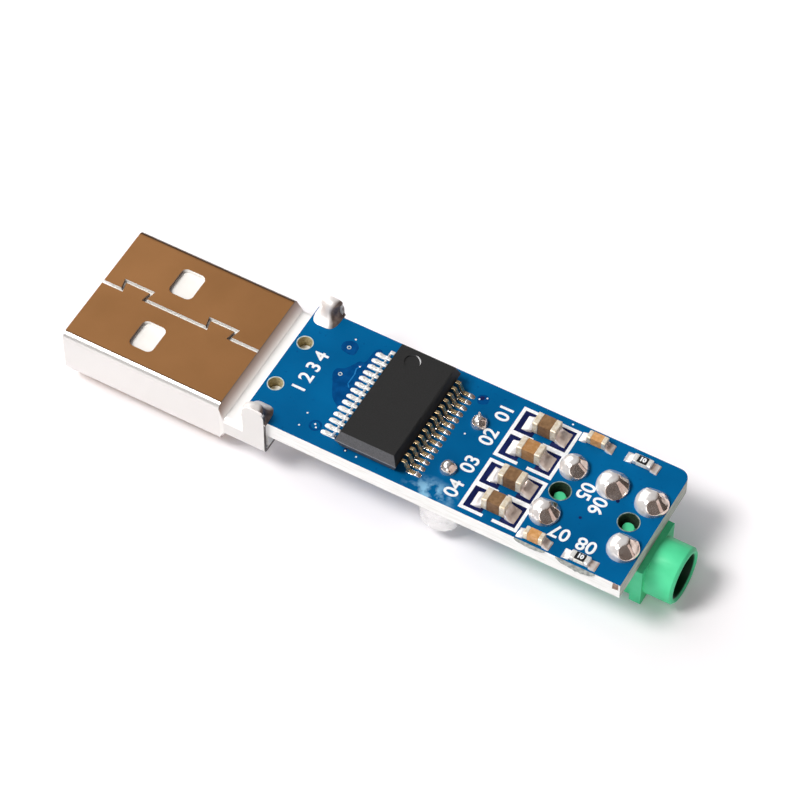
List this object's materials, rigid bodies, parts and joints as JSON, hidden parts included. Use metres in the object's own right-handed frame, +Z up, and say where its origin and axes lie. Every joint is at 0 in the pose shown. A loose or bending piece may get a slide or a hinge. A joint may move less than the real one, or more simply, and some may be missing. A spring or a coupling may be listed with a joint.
{
  "type": "usb dac board",
  "caption": "Narrow blue sound-card board with a folded-shell plug at one end, an audio chip and chip parts on top, and a green headphone jack under the other end.",
  "frame": {"origin": "on the surface that the part lies on, under the middle of its box", "axes": "+X from the plug to the jack, +Y across the board, +Z up out of the chip side"},
  "size_m": [0.0516, 0.0124, 0.008],
  "materials": {
    "board_mask": "glossy blue mask over glass laminate",
    "plug_plate": "bright nickel plate on folded sheet steel",
    "ivory_plastic": "moulded, satin",
    "contact_gold": "thin gold plate",
    "chip_plastic": "moulded, fine matt grain",
    "lead_tin": "tinned, satin",
    "end_tin": "tinned, satin",
    "solder": "bright reflowed solder",
    "brown_ceramic": "fired, matt",
    "tan_ceramic": "fired, matt",
    "resistor_ceramic": "white alumina",
    "resistor_coat": "dark protective film",
    "green_plastic": "moulded, glossy",
    "terminal_tin": "tinned brass strip",
    "can_steel": "drawn can, satin"
  },
  "bodies": {
    "root": {"bias_resistor": "resistor_ceramic", "chip_body": "chip_plastic", "chip_leads": "lead_tin", "circuit_board": "board_mask", "crystal_base": "can_steel", "crystal_can": "can_steel", "crystal_leads": "lead_tin", "crystal_solder": "solder", "data_minus_contact": "contact_gold", "data_plus_contact": "contact_gold", "data_resistor_1": "resistor_ceramic", "data_resistor_2": "resistor_ceramic", "filter_capacitor_1": "tan_ceramic", "filter_capacitor_1_ends": "end_tin", "filter_capacitor_2": "tan_ceramic", "filter_capacitor_2_ends": "end_tin", "filter_part_solder": "solder", "filter_resistor_1": "resistor_ceramic", "filter_resistor_1_coat": "resistor_coat", "filter_resistor_1_ends": "end_tin", "filter_resistor_2": "resistor_ceramic", "filter_resistor_2_coat": "resistor_coat", "filter_resistor_2_ends": "end_tin", "ground_contact": "contact_gold", "jack_housing": "green_plastic", "jack_solder": "solder", "leg_solder": "solder", "load_capacitor_1": "tan_ceramic", "load_capacitor_2": "tan_ceramic", "output_capacitor_1": "brown_ceramic", "output_capacitor_1_ends": "end_tin", "output_capacitor_2": "brown_ceramic", "output_capacitor_2_ends": "end_tin", "output_capacitor_3": "brown_ceramic", "output_capacitor_3_ends": "end_tin", "output_capacitor_4": "brown_ceramic", "output_capacitor_4_ends": "end_tin", "output_capacitor_solder": "solder", "plug_insulator": "ivory_plastic", "plug_shell": "plug_plate", "power_contact": "contact_gold", "pull_up_resistor": "resistor_ceramic", "ring_switch_terminal": "terminal_tin", "ring_terminal": "terminal_tin", "sleeve_terminal": "terminal_tin", "supply_capacitor_1": "tan_ceramic", "supply_capacitor_2": "tan_ceramic", "supply_capacitor_3": "tan_ceramic", "tip_switch_terminal": "terminal_tin", "tip_terminal": "terminal_tin", "underside_part_ends": "end_tin", "underside_resistor_coats": "resistor_coat", "underside_solder": "solder"}
  },
  "joints": []
}
